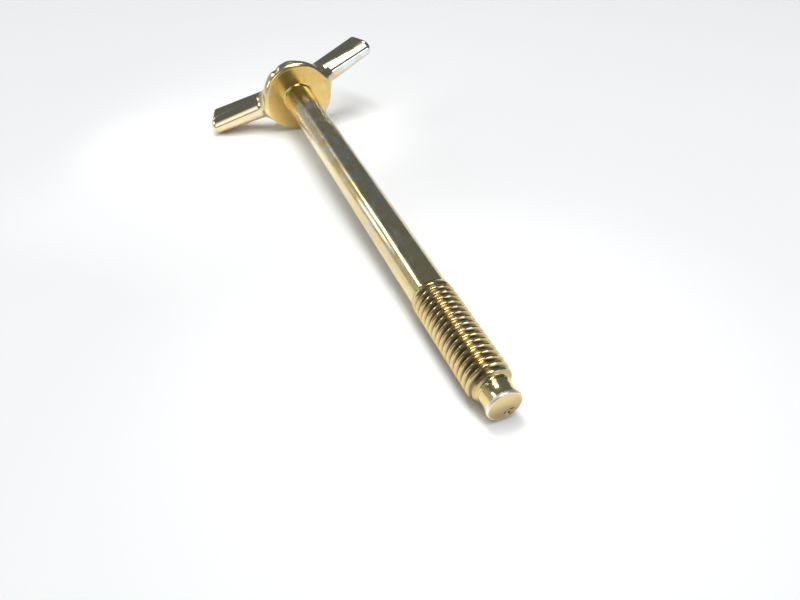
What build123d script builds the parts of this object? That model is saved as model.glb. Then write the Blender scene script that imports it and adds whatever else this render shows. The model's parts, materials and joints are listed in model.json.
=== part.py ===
from build123d import *
import os
from math import radians, tan

# A one-piece wing bolt: a collar with two swept-back wings that run into the hub behind
# it, a long plain shank, a threaded stretch and a lipped dog point. The thread's ridges
# are too fine for this model, which has the plain envelope that they fill.
# Sizes are in millimetres. The bolt is drawn upright on its point, with its axis on Z
# and its wings along X, and is then laid on a flat surface as it comes to rest.

# Shank and thread
bolt_length = 80.0            # from the point's end to the collar's bearing face
shank_diameter = 5.5
shank_fillet = 0.6            # where the shank meets the collar
thread_diameter = 5.96        # over the crests
thread_end = 19.8             # from the point's end to the plain shank
thread_run_out = 0.9          # length of the slopes at both ends of the thread

# Dog point
point_length = 3.2            # from the point's end to the thread
point_diameter = 4.3
lip_diameter = 4.62
lip_length = 0.75
lip_flare = 0.5               # length of the slope behind the lip
lip_round = 0.22

# Collar and hub
collar_diameter = 13.2
collar_thickness = 2.2
collar_round = 0.45           # front rim
hub_height = 3.4              # behind the collar
hub_top_diameter = 6.0
hub_round = 0.8               # back rim of the collar and rim of the hub's top

# Wings: widths are along the bolt's axis, thicknesses across the wings
wing_span = 35.5              # between the front corners, before they are rounded
wing_start = 1.5              # from the axis to the wings' inner ends, inside the hub
wing_width_root = 4.1         # root widths and thicknesses are taken at the axis
wing_width_tip = 6.0
wing_thickness_root = 5.0
wing_thickness_tip = 3.2
wing_sweep = 12.8             # degrees that the front edges lean back
wing_end_slant = 19.5         # degrees that the ends lean inwards
wing_edge = 1.15              # radius along the wings' edges
wing_corner = 0.8             # radius round the ends
wing_blend = 1.2              # where the wings meet the collar and the hub

half_span = wing_span / 2
bearing_z = bolt_length
collar_back_z = bearing_z + collar_thickness
lip_radius = lip_diameter / 2
collar_radius = collar_diameter / 2


def turned(points):
    """The solid that a closed outline of (radius, height) points makes about Z."""
    return revolve(make_face(Plane.YZ * Polyline(*points, close=True)), Axis.Z)


def rims_at(solid, height):
    """The circular edges of a turned solid that lie at one height."""
    circles = solid.edges().filter_by(GeomType.CIRCLE)
    return circles.filter_by(lambda edge: abs(edge.arc_center.Z - height) < 1e-6)


def core():
    """The dog point, the thread's envelope and the plain shank."""
    shank_radius = shank_diameter / 2
    thread_radius = thread_diameter / 2
    point_radius = point_diameter / 2
    solid = turned([
        (0, 0), (lip_radius, 0), (lip_radius, lip_length),
        (point_radius, lip_length + lip_flare), (point_radius, point_length),
        (thread_radius, point_length + thread_run_out),
        (thread_radius, thread_end - thread_run_out), (shank_radius, thread_end),
        (shank_radius, bearing_z), (0, bearing_z)])
    lip_edges = rims_at(solid, 0) + rims_at(solid, lip_length)
    return fillet(lip_edges, lip_round)


def centre():
    """The collar and the drafted hub behind it, still sharp at the front rim."""
    # Drawn across the wings, so that the turned faces' seam stays clear of them.
    top = collar_back_z + hub_height
    outline = make_face(Plane.YZ * Polyline(
        (0, bearing_z), (collar_radius, bearing_z), (collar_radius, collar_back_z),
        (hub_top_diameter / 2, top), (0, top), close=True))
    back_rims = outline.vertices().filter_by(
        lambda corner: corner.Y > 0 and corner.Z > bearing_z + 1e-6)
    return revolve(fillet(back_rims, hub_round), Axis.Z)


def wing_section(reach):
    """The wing's rounded section at one distance from the axis."""
    share = reach / half_span
    width = wing_width_root + (wing_width_tip - wing_width_root) * share
    thickness = wing_thickness_root + (wing_thickness_tip - wing_thickness_root) * share
    front_z = bearing_z + reach * tan(radians(wing_sweep))
    section = Plane(origin=(reach, 0, front_z + width / 2), x_dir=(0, 1, 0), z_dir=(1, 0, 0))
    return section * RectangleRounded(thickness, width, wing_edge)


def wing():
    """One wing from the hub outwards, wider and thinner towards its slanted end."""
    blade = loft([wing_section(wing_start), wing_section(half_span * 1.1)], ruled=True)
    front_corner = Pos(half_span, 0, bearing_z + half_span * tan(radians(wing_sweep)))
    beyond = front_corner * Rot(0, -wing_end_slant, 0) * Box(
        half_span, wing_span, wing_span, align=(Align.MIN, Align.CENTER, Align.CENTER))
    trimmed = blade - beyond
    end = trimmed.faces().sort_by(Axis.X)[-1]
    return fillet(end.edges(), wing_corner)


def head():
    """The collar, hub and both wings, blended into one another."""
    middle = centre()
    right = wing()
    wings = right + mirror(right, Plane.YZ)
    joined = middle + wings
    blended = fillet(new_edges(middle, wings, combined=joined), wing_blend)
    return fillet(rims_at(blended, bearing_z), collar_round)


def lowest(solid, tilt, roll=0.0):
    """The lowest height that a solid reaches once its axis is laid along X."""
    return (laid(tilt, roll) * solid).bounding_box().min.Z


def laid(tilt, roll):
    """The turn that lays the axis along X, its head raised and its wings rolled."""
    return Rot(0, 90 - tilt, 0) * Rot(0, 0, 90 - roll)


def balance(gap, low, high):
    """The angle between two bounds at which a growing gap passes through nought."""
    for _ in range(30):
        middle = (low + high) / 2
        if gap(middle) < 0:
            low = middle
        else:
            high = middle
    return (low + high) / 2


def resting(bolt):
    """The bolt on its side, on the rims of its point and collar and on one wing."""
    point = core()
    rim = fillet(rims_at(centre(), bearing_z), collar_round)
    right = wing()
    tilt = balance(lambda angle: lowest(rim, angle) - lowest(point, angle), 0, 45)
    roll = balance(lambda angle: lowest(rim, tilt) - lowest(right, tilt, angle), 0, 60)
    lying = laid(tilt, roll) * bolt
    box = lying.bounding_box()
    return Pos(-box.center().X, -box.center().Y, -box.min.Z) * lying


bolt = core() + head()
bolt = fillet(rims_at(bolt, bearing_z).sort_by(SortBy.RADIUS)[0], shank_fillet)

os.makedirs("parts", exist_ok=True)
export_step(resting(bolt), "parts/wing_bolt.step")
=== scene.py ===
import json
import math
import bmesh
import bpy
import numpy as np
from mathutils import Matrix, Quaternion, Vector


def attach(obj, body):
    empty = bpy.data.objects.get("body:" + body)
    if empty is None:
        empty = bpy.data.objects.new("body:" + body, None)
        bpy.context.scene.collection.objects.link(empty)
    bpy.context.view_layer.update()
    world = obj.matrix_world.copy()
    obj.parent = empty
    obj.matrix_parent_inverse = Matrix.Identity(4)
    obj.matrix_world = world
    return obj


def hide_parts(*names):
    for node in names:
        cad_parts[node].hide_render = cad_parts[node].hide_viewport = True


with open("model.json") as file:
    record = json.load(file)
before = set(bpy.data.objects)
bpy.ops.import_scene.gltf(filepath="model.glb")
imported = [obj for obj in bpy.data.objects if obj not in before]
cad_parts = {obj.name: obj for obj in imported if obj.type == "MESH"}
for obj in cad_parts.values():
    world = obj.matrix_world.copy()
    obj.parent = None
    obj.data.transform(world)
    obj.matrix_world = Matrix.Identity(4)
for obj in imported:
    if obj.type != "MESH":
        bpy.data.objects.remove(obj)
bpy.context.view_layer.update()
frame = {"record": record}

# A long wing bolt in yellow zinc, lying on a pale table on its thread's first turn, its
# collar and one wing. It is drawn in millimetres in its own frame, standing on its point
# with its axis on z and its wings along x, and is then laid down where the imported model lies.

millimetre = 0.001


def smoothStep(low, high, value):
    share = np.clip((value - low) / (high - low), 0, 1)
    return share * share * (3 - 2 * share)


# The turned part: dog point, rolled thread and plain shank, one radius for each height
# and angle.

shank = {
    "length": 80.0,          # from the point's end to the collar's front face
    "radius": 2.75,
    "around": 96,            # points round it
    "rings": 60,
    "startsAfter": 0.45,     # beyond the thread's end; the gaps are sewn up
    "stopsBefore": 0.3,      # short of the head's skin
    "headCut": 78.5,         # where it is sewn to the head's skin
    "footRound": 0.25,       # into the collar
    "footDepth": 1.0,        # how far the foot reaches into the collar
}

thread = {
    "pitch": 1.0,
    "crestRadius": 2.97,
    "depth": 0.52,
    "hollow": 1.3,           # 1 is a plain V, more is a rounder groove
    "crestFlat": 0.18,       # share of the pitch
    "crestRound": 0.12,
    "start": 1.95,           # foot of the slope out of the neck
    "full": 4.1,
    "lead": 1.2,             # length over which the groove deepens
    "end": 19.8,
    "fade": 1.5,             # length over which the groove runs out
    "slopeFrom": -0.9,       # slope down to the shank, measured from the end
    "slopeTo": 0.1,
    "sharpness": 40,         # of the corner where the ridges rise out of the neck
    "rowsPerTurn": 22,
    "startsBefore": 0.25,    # its rows are drawn from this far before the start
    "stopsAfter": 0.3,       # to this far beyond the end
}

dogPoint = {
    "neckRadius": 2.15,
    "lipRadius": 2.31,
    "flareEnd": 1.5,         # the lip's flare has died away here
    "rimSetBack": 0.05,      # the end face is domed by this much
    "rimRound": 0.18,
    "rimSteps": 6,
    "ringGap": 0.07,
    "faceRing": 0.11,
    "stopsBefore": 0.3,      # short of the thread's start
    "dimple": (-0.27, -1.50),
    "dimpleSize": (0.62, 0.42),
    "dimpleDepth": 0.38,
}


def threadRidge(z, angle):
    turn = (z / thread["pitch"] - angle / (2 * math.pi)) % 1.0
    fromCrest = 1 - np.abs(2 * turn - 1)
    fromCrest = np.maximum(fromCrest - thread["crestFlat"], 0) / (1 - thread["crestFlat"])
    fromCrest = np.hypot(fromCrest, thread["crestRound"]) - thread["crestRound"]
    fromCrest = fromCrest / (math.hypot(1, thread["crestRound"]) - thread["crestRound"])
    return (1 - fromCrest) ** thread["hollow"]


def turnedRadius(z, angle):
    end = thread["end"]
    start = thread["start"]
    sharp = thread["sharpness"]
    swell = thread["crestRadius"] - shank["radius"]
    sinking = smoothStep(end + thread["slopeFrom"], end + thread["slopeTo"], z)
    crest = shank["radius"] + swell * (1 - sinking)
    neck = dogPoint["neckRadius"]
    slope = neck + (crest - neck) * smoothStep(start, thread["full"], z)
    cut = smoothStep(start, start + thread["lead"], z)
    cut = cut * (1 - smoothStep(end - thread["fade"], end, z))
    threaded = slope - thread["depth"] * cut * (1 - threadRidge(z, angle))
    body = np.logaddexp(threaded * sharp, neck * sharp) / sharp      # the greater, softly
    flare = 1 - smoothStep(0, dogPoint["flareEnd"], z)
    return body + (dogPoint["lipRadius"] - neck) * flare


def endFaceHeight(x, y):
    out = np.hypot(x, y) / (dogPoint["lipRadius"] - dogPoint["rimRound"])
    dome = dogPoint["rimSetBack"] * out ** 2
    aside = (x - dogPoint["dimple"][0]) / dogPoint["dimpleSize"][0]
    below = (y - dogPoint["dimple"][1]) / dogPoint["dimpleSize"][1]
    return dome + dogPoint["dimpleDepth"] * math.exp(-aside ** 2 - below ** 2)


def addRing(bm, z, radius):
    around = shank["around"]
    ring = []
    for j in range(around):
        angle = 2 * math.pi * j / around
        r = radius[j] if isinstance(radius, np.ndarray) else radius
        ring.append(bm.verts.new((r * math.cos(angle), r * math.sin(angle), z)))
    return ring


def joinRings(bm, rings):
    around = shank["around"]
    for low, high in zip(rings, rings[1:]):
        for j in range(around):
            k = (j + 1) % around
            bm.faces.new((low[j], low[k], high[k], high[j]))


def addDogPoint(bm):
    angles = 2 * math.pi * np.arange(shank["around"]) / shank["around"]
    rim = dogPoint["rimRound"]
    faceRadius = dogPoint["lipRadius"] - rim
    rings = []
    for r in np.arange(dogPoint["faceRing"], faceRadius, dogPoint["faceRing"]):
        ring = addRing(bm, 0, r)
        for vert in ring:
            vert.co.z = endFaceHeight(vert.co.x, vert.co.y)
        rings.append(ring)
    for k in range(dogPoint["rimSteps"] + 1):
        turn = math.pi / 2 * k / dogPoint["rimSteps"]
        z = dogPoint["rimSetBack"] + rim - rim * math.cos(turn)
        rings.append(addRing(bm, z, faceRadius + rim * math.sin(turn)))
    lowest = dogPoint["rimSetBack"] + rim + dogPoint["ringGap"]
    for z in np.arange(lowest, thread["start"] - dogPoint["stopsBefore"], dogPoint["ringGap"]):
        rings.append(addRing(bm, z, turnedRadius(z, angles)))
    joinRings(bm, rings)
    middle = bm.verts.new((0, 0, endFaceHeight(0, 0)))
    for j in range(shank["around"]):
        bm.faces.new((middle, rings[0][(j + 1) % shank["around"]], rings[0][j]))


def addThread(bm):
    # rows climb with the thread, so that every crest is one clean line of points
    around = shank["around"]
    perTurn = thread["rowsPerTurn"]
    step = thread["pitch"] / perTurn
    first = thread["start"] - thread["startsBefore"]
    last = thread["end"] + thread["stopsAfter"]
    rows = math.ceil((last - first) / step) + perTurn + 1
    share = np.arange(around) / around
    climb = np.arange(rows)[:, None] - perTurn + perTurn * share[None, :]
    heights = np.clip(first + climb * step, first, last)
    angles = 2 * math.pi * share
    radii = turnedRadius(heights, angles[None, :])
    grid = []
    for rowZ, rowR in zip(heights, radii):
        grid.append([bm.verts.new((r * math.cos(t), r * math.sin(t), z))
                     for r, t, z in zip(rowR, angles, rowZ)])
    for i in range(rows - 1):
        for j in range(around - 1):
            bm.faces.new((grid[i][j], grid[i][j + 1], grid[i + 1][j + 1], grid[i + 1][j]))
        above = i + perTurn
        if above + 1 < rows:
            bm.faces.new((grid[i][-1], grid[above][0], grid[above + 1][0], grid[i + 1][-1]))


def addShank(bm):
    low = thread["end"] + shank["startsAfter"]
    high = shank["headCut"] - shank["stopsBefore"]
    heights = np.linspace(low, high, shank["rings"])
    joinRings(bm, [addRing(bm, z, shank["radius"]) for z in heights])


# The head: collar, hub and swept wings as one skin, drawn round a field that is negative
# inside the metal, so that every junction is a smooth forged fairing.

head = {
    "collarRadius": 6.6,
    "collarThickness": 2.2,
    "collarRound": 0.6,      # front rim
    "hubHeight": 3.4,
    "hubTopRadius": 3.0,
    "hubRound": 0.8,
    "blend": 2.4,            # where the wings run into the collar and the hub
    # the rim's swells: where in degrees, how far out in millimetres, how wide in degrees
    "swells": ((75, 0.30, 40), (100, 0.16, 9), (75, -0.26, 5)),
    "swellRise": 2.0,        # depth from the front face over which they grow
    "cell": 0.17,            # size of the skin's faces
    "margin": 0.5,           # space round it in which the field is worked out
    "behind": 11,            # the same, behind the collar's front face
    "evenings": 3,           # rounds that even out the faces
}

wing = {
    "halfSpan": 17.75,
    "rootWidth": 4.1,        # along the bolt's axis
    "tipWidth": 6.0,
    "rootThickness": 5.0,
    "tipThickness": 3.2,
    "sweep": 12.8,           # degrees that the front edge leans back
    "endSlant": 19.5,
    "frontEdge": 1.5,
    "crown": 2.7,            # radius across the front edge's face
    "backEdge": 1.15,
    "corner": 0.9,
}


def roundJoin(a, b, radius):
    hollow = np.hypot(np.maximum(radius - a, 0), np.maximum(radius - b, 0))
    return np.maximum(radius, np.minimum(a, b)) - hollow


def roundMeet(a, b, radius):
    crown = np.hypot(np.maximum(radius + a, 0), np.maximum(radius + b, 0))
    return np.minimum(-radius, np.maximum(a, b)) + crown


def wingField(x, y, z):
    out = np.abs(x)
    span = wing["halfSpan"]
    lean = math.tan(math.radians(wing["sweep"]))
    slant = math.radians(wing["endSlant"])
    rise = lean + (wing["tipWidth"] - wing["rootWidth"]) / span
    taper = (wing["rootThickness"] - wing["tipThickness"]) / 2 / span
    ahead = z - shank["length"]
    front = (out * lean - ahead + y ** 2 / 2 / wing["crown"]) / math.hypot(1, lean)
    back = (ahead - wing["rootWidth"] - out * rise) / math.hypot(1, rise)
    side = (np.abs(y) - wing["rootThickness"] / 2 + out * taper) / math.hypot(1, taper)
    end = (out - span) * math.cos(slant) + (ahead - span * lean) * math.sin(slant)
    blade = roundMeet(front, side, wing["frontEdge"])
    blade = roundMeet(blade, back, wing["backEdge"])
    return roundMeet(blade, end, wing["corner"])


def collarSwell(x, y, z):
    # the forging left the collar's upper rim a little out of round
    angle = np.degrees(np.arctan2(y, x))
    swell = 0
    for middle, size, width in head["swells"]:
        swell = swell + size * np.exp(-((angle - middle) / width) ** 2)
    return swell * smoothStep(0.0, head["swellRise"], z - shank["length"])


def headField(x, y, z):
    reach = np.hypot(x, y)
    behind = z - shank["length"] - head["collarThickness"]
    draft = (head["collarRadius"] - head["hubTopRadius"]) / head["hubHeight"]
    rim = reach - head["collarRadius"] - collarSwell(x, y, z)
    cone = (rim + behind * draft) / math.hypot(1, draft)
    turned = roundMeet(rim, cone, head["hubRound"])
    turned = roundMeet(turned, behind - head["hubHeight"], head["hubRound"])
    whole = roundJoin(turned, wingField(x, y, z), head["blend"])
    whole = roundMeet(whole, shank["length"] - z, head["collarRound"])
    foot = np.maximum(reach - shank["radius"], z - shank["length"] - shank["footDepth"])
    return roundJoin(whole, foot, shank["footRound"])


def headSlope(points):
    step = 1e-3              # millimetres
    slopes = []
    for k in range(3):
        shift = np.zeros(3)
        shift[k] = step
        rise = headField(*(points + shift).T) - headField(*(points - shift).T)
        slopes.append(rise / (2 * step))
    return np.stack(slopes, axis=1)


def ontoSkin(points):
    steps = 3
    least = 0.05             # floor under the slope's square, so that none is thrown far
    for _ in range(steps):
        slope = headSlope(points)
        away = headField(*points.T)[:, None]
        points = points - away * slope / np.maximum((slope ** 2).sum(1), least)[:, None]
    return points


def headGrid():
    wide = wing["halfSpan"] + head["margin"]
    deep = head["collarRadius"] + head["margin"]
    low = np.array([-wide, -deep, shank["headCut"]])
    high = np.array([wide, deep, shank["length"] + head["behind"]])
    cell = head["cell"]
    axes = [np.arange(low[k], high[k] + cell, cell) for k in range(3)]
    return np.meshgrid(*axes, indexing="ij")


def drawHead():
    # one point in each cell that the skin crosses, one quad round each crossed edge
    grid = headGrid()
    value = headField(*grid)
    cells = np.array(value.shape) - 1
    total = np.zeros((*cells, 3))
    hits = np.zeros(cells)
    crossings = []
    for k in range(3):
        near = np.moveaxis(np.moveaxis(value, k, 0)[:-1], 0, k)
        far = np.moveaxis(np.moveaxis(value, k, 0)[1:], 0, k)
        crossed = (near < 0) != (far < 0)
        share = np.where(crossed, near / np.where(crossed, near - far, 1), 0)
        a, b, c = near.shape
        spot = np.stack([axis[:a, :b, :c] for axis in grid], axis=-1)
        spot[..., k] += share * head["cell"]
        others = [m for m in range(3) if m != k]
        for da in (0, 1):
            for db in (0, 1):
                part = [slice(None)] * 3
                part[others[0]] = slice(da, da + cells[others[0]])
                part[others[1]] = slice(db, db + cells[others[1]])
                part = tuple(part)
                total += spot[part] * crossed[part][..., None]
                hits += crossed[part]
        crossings.append((crossed, near < 0))
    used = hits > 0
    number = np.full(cells, -1)
    number[used] = np.arange(used.sum())
    points = total[used] / hits[used][:, None]
    faces = []
    for k in range(3):
        crossed, inside = crossings[k]
        spots = np.argwhere(crossed)
        u, v = ((1, 2), (2, 0), (0, 1))[k]
        kept = (spots[:, u] > 0) & (spots[:, u] < cells[u])
        kept &= (spots[:, v] > 0) & (spots[:, v] < cells[v])
        spots = spots[kept]
        ring = []
        for du, dv in ((-1, -1), (0, -1), (0, 0), (-1, 0)):
            corner = spots.copy()
            corner[:, u] += du
            corner[:, v] += dv
            ring.append(number[tuple(corner.T)])
        ring = np.stack(ring, axis=1)
        turned = ~inside[tuple(spots.T)]
        ring[turned] = ring[turned][:, ::-1]
        faces.append(ring)
    return points, np.concatenate(faces)


def evenOut(points, faces):
    halfway = 0.5
    edges = np.concatenate([faces[:, [k, (k + 1) % 4]] for k in range(4)])
    edges = np.unique(np.sort(edges, axis=1), axis=0)
    cutRow = points[:, 2] < shank["headCut"] + head["cell"]
    for _ in range(head["evenings"]):
        total = np.zeros_like(points)
        count = np.zeros(len(points))
        for one, other in ((0, 1), (1, 0)):
            np.add.at(total, edges[:, one], points[edges[:, other]])
            np.add.at(count, edges[:, one], 1)
        middle = total / count[:, None]
        moved = ontoSkin(points + halfway * (middle - points))
        points = np.where(cutRow[:, None], points, moved)
    return points


def addHead(bm):
    points, faces = drawHead()
    points = evenOut(ontoSkin(points), faces)
    verts = [bm.verts.new(point) for point in points]
    for face in faces:
        bm.faces.new([verts[i] for i in face])
    for vert in verts:
        if vert.is_boundary:
            grow = shank["radius"] / math.hypot(vert.co.x, vert.co.y)
            vert.co = (vert.co.x * grow, vert.co.y * grow, shank["headCut"])


def openLoops(bm):
    left = {edge for edge in bm.edges if edge.is_boundary}
    loops = []
    while left:
        growing = [left.pop()]
        loop = set(growing)
        while growing:
            edge = growing.pop()
            for vert in edge.verts:
                for nextEdge in vert.link_edges:
                    if nextEdge in left:
                        left.discard(nextEdge)
                        loop.add(nextEdge)
                        growing.append(nextEdge)
        loops.append(loop)
    return sorted(loops, key=lambda loop: min(v.co.z for edge in loop for v in edge.verts))


def sewUp(bm):
    touching = 1e-4          # millimetres
    tiny = 1e-5
    # the thread's rows lie on top of one another where they are clipped at its two ends
    bmesh.ops.remove_doubles(bm, verts=bm.verts, dist=touching)
    bmesh.ops.dissolve_degenerate(bm, dist=tiny, edges=bm.edges)
    loops = openLoops(bm)
    for lower, upper in zip(loops[0::2], loops[1::2]):
        bmesh.ops.bridge_loops(bm, edges=list(lower | upper))
    bmesh.ops.recalc_face_normals(bm, faces=bm.faces)
    openEdges = sum(not edge.is_manifold for edge in bm.edges)
    print("wing bolt sewn:", len(loops), "loops,", openEdges, "edges left open")


# Where it lies: the shank's axis comes from the record, and the wings are rolled from
# level until one of them is down.

lying = {
    "roll": 18.2516,         # degrees that the wings are turned from level
    "shankMiddle": 49.6,     # of the record's shank mount, from the point's end
}


def whereItLies():
    mount = next(m for m in frame["record"]["mounts"] if m["name"] == "shank")
    axis = -Vector(mount["axis"]).normalized()
    across = Vector((0, 1, 0))
    upward = axis.cross(across)
    roll = math.radians(lying["roll"])
    wingWay = across * math.cos(roll) - upward * math.sin(roll)
    flatWay = across * math.sin(roll) + upward * math.cos(roll)
    pointEnd = Vector(mount["pos_m"]) - axis * lying["shankMiddle"] * millimetre
    turn = Matrix((wingWay, flatWay, axis)).transposed().to_4x4()
    return Matrix.Translation(pointEnd) @ turn


def skinNormals(mesh):
    # the head's own slopes light it more evenly than its small faces do
    spots = np.array([vert.co for vert in mesh.vertices])
    normals = np.array([vert.normal for vert in mesh.vertices])
    onHead = spots[:, 2] > shank["headCut"] + 2 * head["cell"]
    slope = headSlope(spots[onHead])
    normals[onHead] = slope / np.linalg.norm(slope, axis=1)[:, None]
    return normals


def makeBolt(place):
    bm = bmesh.new()
    addDogPoint(bm)
    addThread(bm)
    addShank(bm)
    addHead(bm)
    sewUp(bm)
    mesh = bpy.data.meshes.new("wingBolt")
    bm.to_mesh(mesh)
    bm.free()
    normals = skinNormals(mesh) @ np.array(place.to_3x3()).T
    mesh.transform(place @ Matrix.Scale(millimetre, 4))
    mesh.shade_smooth()
    mesh.normals_split_custom_set_from_vertices(normals.tolist())
    bolt = bpy.data.objects.new("wingBolt", mesh)
    bpy.context.scene.collection.objects.link(bolt)
    print("wing bolt made:", len(mesh.polygons), "faces")
    return bolt


# Yellow zinc: gold that drifts to straw, rose, green and grey, with a painted reflection, a pale
# blue band, on one wing. It is duller and more uneven towards the head, with painted shade in
# the thread's grooves and on the point's end face, a painted highlight on the lip's rim, a
# darker pit in the end face, and fine lengthwise rubbing.

yellowZinc = {
    "shankGold": (0.79, 0.63, 0.31),
    "headGold": (0.74, 0.51, 0.17),
    "wingGold": (0.76, 0.64, 0.40),
    "wingRose": (0.74, 0.53, 0.35),
    # painted reflection: a pale blue band along one wing's front edge, standing in for a cool light
    # mirrored there
    "wingBlueReflection": (0.86, 0.92, 0.93),
    "threadGold": (0.76, 0.56, 0.25),
    "neckGold": (0.79, 0.65, 0.29),
    # painted highlight: a pale pink line round the lip's rim
    "lipHighlight": (0.94, 0.83, 0.74),
    # painted shade: the point's end face darkened, with painted light making it paler towards its top
    "endFaceShade": (0.46, 0.34, 0.17),
    "endFaceLit": (0.71, 0.55, 0.28),
    "patchRose": (0.78, 0.58, 0.46),
    "patchGreen": (0.66, 0.70, 0.36),
    "patchGrey": (0.66, 0.69, 0.68),
    # darker brown in the end face's pit
    "pitDarkening": (0.36, 0.25, 0.13),
    # painted shade: near-black brown laid into the thread's grooves
    "grooveShade": (0.13, 0.11, 0.085),
    "patchShare": 0.55,      # how strongly rose and green lie over the gold
    "mottleShare": 0.7,
    "grooveShare": 0.85,
    "pitShare": 0.9,
    "speckleDark": 0.95,
    "speckleBright": 1.02,
    "roughPoint": 0.10,
    "roughHead": 0.18,
    # added to that roughness:
    "roughWing": -0.09,
    "roughFace": 0.02,
    "roughStreaks": (-0.03, 0.05),
    "roughPatches": (-0.02, 0.05),
    "roughMottle": 0.08,
    "roughGroove": 0.25,
    "roughWear": 0.30,
    # how high the relief stands:
    "ripplePoint": 0.06,
    "rippleShank": 0.4,
    "rippleHead": 0.15,      # of the shank's
    "scratches": 0.04,
    "relief": 0.35,
    "reliefHeight": 0.0001,  # metres
}

finishZones = {
    # where each finish goes from none to all, in millimetres
    # up the bolt from its point:
    "head": (79.3, 80),
    "face": (79.4, 80.2),
    "neck": (3.6, 1.6),
    "offNeck": (2.6, 3.8),
    "lip": (0.7, 0.3),
    "endFace": (0.35, 0.10),
    "mottleStart": (20, 30),
    "mottleEnd": (79, 72),
    "duller": (15, 79),
    "rippled": (20, 78),
    "rippleEnd": (78, 80),
    "rubbedEnd": (80, 78),
    "scratchEnd": (79.0, 80.2),
    # out from the axis:
    "rimAndWings": (6.1, 6.8),
    "groove": (2.88, 2.58),
    "lipEdge": (2.1, 2.25),
    "insideLip": (2.2, 2.0),
    # along the wings and across them:
    "wing": (7, 9),
    "offWing": (7.5, 6.0),
    "wingUnder": (-0.4, -1.0),
    # where the painted blue reflection lies on one wing:
    "blueTop": (0.8, 0.4),
    "blueFoot": (-0.9, -0.4),
    "blueWing": (-8, -11),
    # painted light on the end face, growing towards its top:
    "paleEnd": (-0.9, 1.3),
    # out from the middle of the end face's pit:
    "pit": (0.95, 0.45),
    # in a cloud's own values, from 0 to 1, not millimetres:
    "rosy": (0.56, 0.72),
    "greenish": (0.44, 0.28),
    "mottled": (0.38, 0.70),
    "speckled": (0.35, 0.65),
    "streaked": (0.3, 0.7),
    "patchy": (0.35, 0.65),
}

finishClouds = {
    # size in millimetres, detail, and how it is drawn out
    "patches": (3.2, 1.5, (1, 1, 1)),
    "mottle": (1.5, 2.0, (1, 1, 0.6)),
    "speckle": (0.8, 1.5, (1, 1, 1)),
    "rubbed": (0.35, 3.0, (1, 1, 0.06)),
    "ripple": (1.6, 1.0, (1, 1, 0.45)),
}


def addNode(tree, kind, inputs, **settings):
    node = tree.nodes.new("ShaderNode" + kind)
    for name, value in settings.items():
        setattr(node, name, value)
    for name, value in inputs.items():
        if isinstance(value, bpy.types.NodeSocket):
            tree.links.new(value, node.inputs[name])
        else:
            node.inputs[name].default_value = value
    return node


def ramped(tree, value, low, high, start=0.0, stop=1.0):
    inputs = {"Value": value, "From Min": low, "From Max": high, "To Min": start, "To Max": stop}
    return addNode(tree, "MapRange", inputs).outputs["Result"]


def tinted(tree, share, first, second, blend="MIX"):
    node = tree.nodes.new("ShaderNodeMix")
    node.data_type = "RGBA"
    node.blend_type = blend
    for socket, value in ((node.inputs[0], share), (node.inputs[6], first), (node.inputs[7], second)):
        if isinstance(value, bpy.types.NodeSocket):
            tree.links.new(value, socket)
        elif isinstance(value, tuple):
            socket.default_value = (*value, 1)
        else:
            socket.default_value = value
    return node.outputs[2]


def calculated(tree, operation, first, second=0.0):
    return addNode(tree, "Math", {0: first, 1: second}, operation=operation).outputs[0]


def times(tree, first, second):
    return calculated(tree, "MULTIPLY", first, second)


def plus(tree, first, second):
    return calculated(tree, "ADD", first, second)


def zoned(tree, value, zone, start=0.0, stop=1.0):
    low, high = finishZones[zone]
    return ramped(tree, value, low, high, start, stop)


def clouds(tree, spot, kind):
    size, detail, stretch = finishClouds[kind]
    inputs = {"Vector": spot, "Location": (0, 0, 0), "Scale": stretch}
    stretched = addNode(tree, "Mapping", inputs).outputs["Vector"]
    inputs = {"Vector": stretched, "Scale": 1 / size, "Detail": detail}
    return addNode(tree, "TexNoise", inputs).outputs["Fac"]


def boltSpace(tree, place):
    # where a point lies in the bolt's own frame, in millimetres
    boltFrame = {
        "Vector": addNode(tree, "TexCoord", {}).outputs["Object"],
        "Location": place.to_translation(),
        "Rotation": place.to_euler(),
        "Scale": (millimetre, millimetre, millimetre),
    }
    spot = addNode(tree, "Mapping", boltFrame, vector_type="TEXTURE").outputs["Vector"]
    apart = addNode(tree, "SeparateXYZ", {"Vector": spot}).outputs
    level = addNode(tree, "VectorMath", {0: spot, 1: (1, 1, 0)}, operation="MULTIPLY")
    pit = (*dogPoint["dimple"], dogPoint["dimpleDepth"])
    reach = addNode(tree, "VectorMath", {0: level.outputs["Vector"]}, operation="LENGTH")
    toPit = addNode(tree, "VectorMath", {0: spot, 1: pit}, operation="DISTANCE")
    return {
        "spot": spot,
        "x": apart["X"],
        "y": apart["Y"],
        "along": apart["Z"],
        "sideways": calculated(tree, "ABSOLUTE", apart["X"]),
        "radius": reach.outputs["Value"],
        "toPit": toPit.outputs["Value"],
    }


def finishMarks(tree, at):
    # the clouds and masks that colour, gloss and relief share
    marks = {kind: clouds(tree, at["spot"], kind) for kind in finishClouds}
    onShank = zoned(tree, at["along"], "mottleStart")
    onShank = times(tree, onShank, zoned(tree, at["along"], "mottleEnd"))
    marks["mottle"] = times(tree, zoned(tree, marks["mottle"], "mottled"), onShank)
    marks["thread"] = calculated(tree, "LESS_THAN", at["along"], thread["end"])
    # the thread's grooves, where shade is painted into the colour
    groove = times(tree, zoned(tree, at["radius"], "groove"), marks["thread"])
    groove = times(tree, groove, zoned(tree, at["along"], "offNeck"))
    marks["groove"] = times(tree, groove, yellowZinc["grooveShare"])
    lip = zoned(tree, at["along"], "lip")
    marks["lip"] = times(tree, lip, zoned(tree, at["radius"], "lipEdge"))
    return marks


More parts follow.
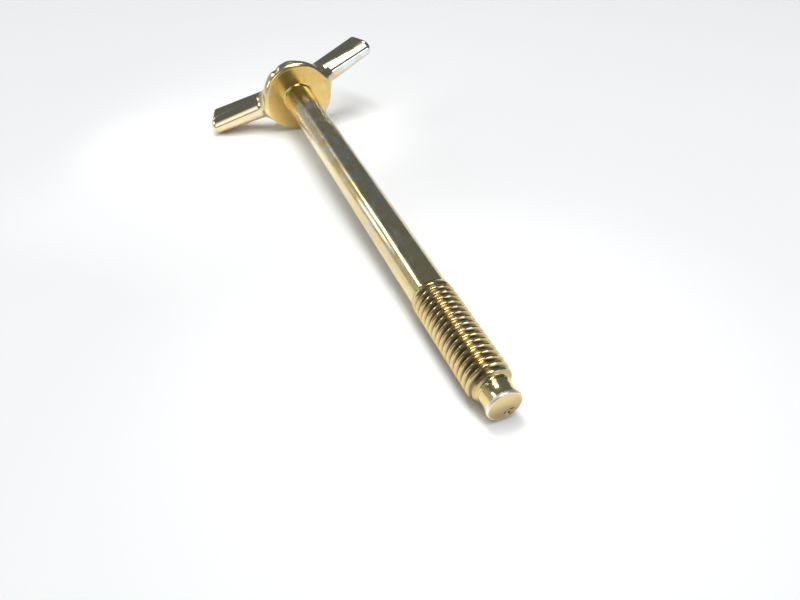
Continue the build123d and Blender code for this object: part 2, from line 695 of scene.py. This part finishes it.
def goldOfEachPart(tree, at, marks):
    zinc = yellowZinc
    colour = tinted(tree, zoned(tree, at["along"], "head"), zinc["shankGold"], zinc["headGold"])
    colour = tinted(tree, zoned(tree, at["radius"], "rimAndWings"), colour, zinc["wingGold"])
    underWing = times(tree, zoned(tree, at["sideways"], "wing"), zoned(tree, at["y"], "wingUnder"))
    colour = tinted(tree, underWing, colour, zinc["wingRose"])
    # painted reflection: the pale blue band of a cool light, painted along one wing's front edge
    blueReflectionBand = times(tree, zoned(tree, at["y"], "blueTop"), zoned(tree, at["y"], "blueFoot"))
    blueReflectionBand = times(tree, blueReflectionBand, zoned(tree, at["x"], "blueWing"))
    colour = tinted(tree, blueReflectionBand, colour, zinc["wingBlueReflection"])
    colour = tinted(tree, marks["thread"], colour, zinc["threadGold"])
    return tinted(tree, zoned(tree, at["along"], "neck"), colour, zinc["neckGold"])


def zincColour(tree, at, marks):
    zinc = yellowZinc
    share = zinc["patchShare"]
    colour = goldOfEachPart(tree, at, marks)
    rosy = zoned(tree, marks["patches"], "rosy", 0, share)
    colour = tinted(tree, rosy, colour, zinc["patchRose"])
    greenish = zoned(tree, marks["patches"], "greenish", 0, share)
    colour = tinted(tree, greenish, colour, zinc["patchGreen"])
    mottled = times(tree, marks["mottle"], zinc["mottleShare"])
    colour = tinted(tree, mottled, colour, zinc["patchGrey"])
    speckle = zoned(tree, marks["speckle"], "speckled", zinc["speckleDark"], zinc["speckleBright"])
    grey = addNode(tree, "CombineColor", {"Red": speckle, "Green": speckle, "Blue": speckle})
    colour = tinted(tree, 1.0, colour, grey.outputs["Color"], "MULTIPLY")
    # painted shade: the thread's grooves darkened
    colour = tinted(tree, marks["groove"], colour, zinc["grooveShade"])
    # painted shade on the point's end face, paler towards its top
    onEnd = times(tree, zoned(tree, at["along"], "endFace"), zoned(tree, at["radius"], "insideLip"))
    endFaceShading = tinted(tree, zoned(tree, at["y"], "paleEnd"), zinc["endFaceShade"], zinc["endFaceLit"])
    colour = tinted(tree, onEnd, colour, endFaceShading)
    # painted highlight on the lip's rim
    colour = tinted(tree, marks["lip"], colour, zinc["lipHighlight"])
    # the end face's pit is darkened
    inPit = zoned(tree, at["toPit"], "pit", 0, zinc["pitShare"])
    return tinted(tree, inPit, colour, zinc["pitDarkening"])


def zincRoughness(tree, at, marks):
    zinc = yellowZinc
    rough = zoned(tree, at["along"], "duller", zinc["roughPoint"], zinc["roughHead"])
    faceOrWing = zoned(tree, at["sideways"], "offWing", zinc["roughWing"], zinc["roughFace"])
    rough = plus(tree, rough, times(tree, zoned(tree, at["along"], "face"), faceOrWing))
    streaks = zoned(tree, marks["rubbed"], "streaked", *zinc["roughStreaks"])
    rough = plus(tree, rough, times(tree, streaks, zoned(tree, at["along"], "rubbedEnd")))
    rough = plus(tree, rough, times(tree, marks["mottle"], zinc["roughMottle"]))
    rough = plus(tree, rough, zoned(tree, marks["patches"], "patchy", *zinc["roughPatches"]))
    rough = plus(tree, rough, times(tree, marks["groove"], zinc["roughGroove"]))
    return plus(tree, rough, times(tree, marks["lip"], zinc["roughWear"]))


def zincRelief(tree, at, marks):
    zinc = yellowZinc
    along = at["along"]
    growing = zoned(tree, along, "rippled", zinc["ripplePoint"], zinc["rippleShank"])
    ripple = times(tree, marks["ripple"], growing)
    ripple = times(tree, ripple, zoned(tree, along, "rippleEnd", 1.0, zinc["rippleHead"]))
    scratches = times(tree, marks["rubbed"], zoned(tree, along, "scratchEnd", zinc["scratches"], 0.0))
    relief = {
        "Strength": zinc["relief"],
        "Distance": zinc["reliefHeight"],
        "Height": plus(tree, ripple, scratches),
    }
    return addNode(tree, "Bump", relief).outputs["Normal"]


def makeYellowZinc(place):
    material = bpy.data.materials.new("yellowZinc")
    material.use_nodes = True
    tree = material.node_tree
    shader = tree.nodes["Principled BSDF"]
    shader.inputs["Metallic"].default_value = 1.0
    at = boltSpace(tree, place)
    marks = finishMarks(tree, at)
    tree.links.new(zincColour(tree, at, marks), shader.inputs["Base Color"])
    tree.links.new(zincRoughness(tree, at, marks), shader.inputs["Roughness"])
    tree.links.new(zincRelief(tree, at, marks), shader.inputs["Normal"])
    print("yellow zinc made")
    return material


# The pale table under it.

table = {
    "halfSize": 1.2,
    "colour": (0.93, 0.93, 0.92),
    "roughness": 0.65,
    "grainColour": (0.8, 0.8, 0.8),
    "grainShare": 0.03,
    "grainScale": 60.0,      # noise cells to the metre
    # the noise's values over which the grain comes in
    "grainBand": (0.3, 0.7),
}


def makeTable():
    material = bpy.data.materials.new("paleTable")
    material.use_nodes = True
    tree = material.node_tree
    shader = tree.nodes["Principled BSDF"]
    where = addNode(tree, "TexCoord", {}).outputs["Object"]
    grain = addNode(tree, "TexNoise", {"Vector": where, "Scale": table["grainScale"]})
    share = ramped(tree, grain.outputs["Fac"], *table["grainBand"], 0, table["grainShare"])
    colour = tinted(tree, share, table["colour"], table["grainColour"])
    tree.links.new(colour, shader.inputs["Base Color"])
    shader.inputs["Roughness"].default_value = table["roughness"]
    s = table["halfSize"]
    mesh = bpy.data.meshes.new("table")
    mesh.from_pydata([(-s, -s, 0), (s, -s, 0), (s, s, 0), (-s, s, 0)], [], [(0, 1, 2, 3)])
    mesh.materials.append(material)
    top = bpy.data.objects.new("table", mesh)
    bpy.context.scene.collection.objects.link(top)
    print("table made")


# The lamps hang round the bolt and face it. Angles are in degrees and lengths in metres.

lamps = {
    "stripBox": {
        "azimuth": -158, "elevation": 78, "distance": 0.62,
        "width": 0.78, "height": 0.15, "turn": 0,
        "watts": 2.2, "colour": (1.0, 0.99, 0.97), "inMetal": True,
    },
    "fillBox": {             # lights the table without showing in the metal
        "azimuth": 60, "elevation": 86, "distance": 1.0,
        "width": 1.0, "height": 1.0, "turn": 0,
        "watts": 4.8, "colour": (1.0, 1.0, 1.0), "inMetal": False,
    },
    "backBox": {
        "azimuth": 38, "elevation": 33, "distance": 0.60,
        "width": 0.16, "height": 0.075, "turn": 90,
        "watts": 0.18, "colour": (1.0, 1.0, 0.98), "inMetal": True,
    },
    "backGlow": {
        "azimuth": 25, "elevation": 29.5, "distance": 0.60,
        "width": 0.12, "height": 0.07, "turn": 90,
        "watts": 0.008, "colour": (1.0, 1.0, 0.98), "inMetal": True,
    },
    "coolBox": {
        "azimuth": -146, "elevation": 6, "distance": 0.75,
        "width": 0.16, "height": 0.22, "turn": 0,
        "watts": 0.35, "colour": (0.80, 0.92, 1.0), "inMetal": True,
    },
}


def hangLamp(name, width, height, watts):
    light = bpy.data.lights.new(name, "AREA")
    light.shape = "RECTANGLE"
    light.size = width
    light.size_y = height
    light.energy = watts
    lamp = bpy.data.objects.new(name, light)
    bpy.context.scene.collection.objects.link(lamp)
    return lamp


def makeLamps():
    for name, box in lamps.items():
        lamp = hangLamp(name, box["width"], box["height"], box["watts"])
        lamp.data.color = box["colour"]
        # an area light shines down its own -z, so it is tipped up from hanging overhead
        tip = Quaternion((0, 1, 0), math.radians(90 - box["elevation"]))
        swing = Quaternion((0, 0, 1), math.radians(box["azimuth"]))
        turned = swing @ tip @ Quaternion((0, 0, 1), math.radians(box["turn"]))
        lamp.location = turned @ Vector((0, 0, box["distance"]))
        lamp.rotation_euler = turned.to_euler()
        lamp.visible_glossy = box["inMetal"]
    print("lamps made:", len(lamps))


# Small white cards close to the bolt, each with one highlight to make. The spread is how
# wide it throws its light, in degrees.

cards = {
    "wingCard": {
        "spot": (0.0080, 0.0430, 0.0287), "faces": (0.0386, 0.0123, 0.0037),
        "size": (0.045, 0.045), "spread": 60, "watts": 0.0011,
    },
    "rootCard": {
        "spot": (0.0487, 0.0523, 0.0255), "faces": (0.0376, 0.0076, 0.0060),
        "size": (0.012, 0.012), "spread": 90, "watts": 0.0010,
    },
    "rimCard": {
        "spot": (0.0543, -0.0202, 0.0666), "faces": (0.0354, -0.0006, 0.0132),
        "size": (0.030, 0.030), "spread": 24, "watts": 0.0011,
    },
    "threadCard": {
        "spot": (-0.010, 0.0, 0.092), "faces": (-0.033, 0.0, 0.006),
        "size": (0.030, 0.022), "spread": 50, "watts": 0.0022,
    },
}


def makeCards():
    for name, card in cards.items():
        lamp = hangLamp(name, *card["size"], card["watts"])
        lamp.data.spread = math.radians(card["spread"])
        lamp.location = card["spot"]
        lookAt = Vector(card["faces"]) - Vector(card["spot"])
        lamp.rotation_euler = lookAt.to_track_quat("-Z", "Y").to_euler()
        lamp.visible_camera = False
    print("cards made:", len(cards))


# The room behind the lamps: shade all round, with a glow on one side.

studio = {
    "brightSide": (0.55, 0.80, -0.25),
    # from shade to full glow, as cosines of the angle from the bright side
    "glowBand": (0.58, 0.85),
    "shade": (0.14, 0.16, 0.19),
    "glow": (0.50, 0.50, 0.47),
}


def makeStudio():
    world = bpy.context.scene.world or bpy.data.worlds.new("studio")
    bpy.context.scene.world = world
    world.use_nodes = True
    tree = world.node_tree
    way = addNode(tree, "TexCoord", {}).outputs["Generated"]
    side = {0: way, 1: studio["brightSide"]}
    facing = addNode(tree, "VectorMath", side, operation="DOT_PRODUCT").outputs["Value"]
    share = ramped(tree, facing, *studio["glowBand"])
    colour = tinted(tree, share, studio["shade"], studio["glow"])
    background = tree.nodes["Background"]
    tree.links.new(colour, background.inputs["Color"])
    bpy.context.scene.view_settings.view_transform = "Standard"
    print("studio made")


# The camera looks along the bolt from beyond its point. Its place is told in the bolt's
# own frame, in millimetres.

view = {
    "eye": (8.0434, 65.1128, -35.9177),
    "aim": (3.6909, -2.2125, 23.6504),
    "twist": -1.603,         # degrees
    "lens": 29.25,
    "sensor": 36,
    "nearest": 0.001,        # metres; what is closer isn't seen
}


def makeCamera(place):
    camera = bpy.data.cameras.new("camera")
    camera.lens = view["lens"]
    camera.sensor_width = view["sensor"]
    camera.clip_start = view["nearest"]
    eye = place @ (Vector(view["eye"]) * millimetre)
    aim = place @ (Vector(view["aim"]) * millimetre)
    twist = Quaternion((0, 0, 1), math.radians(view["twist"]))
    holder = bpy.data.objects.new("camera", camera)
    holder.location = eye
    holder.rotation_euler = ((aim - eye).to_track_quat("-Z", "Y") @ twist).to_euler()
    bpy.context.scene.collection.objects.link(holder)
    bpy.context.scene.camera = holder
    print("camera placed")


place = whereItLies()
makeCamera(place)
bolt = makeBolt(place)
bolt.data.materials.append(makeYellowZinc(place))
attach(bolt, "root")
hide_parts("wing_bolt")
makeTable()
makeLamps()
makeCards()
makeStudio()
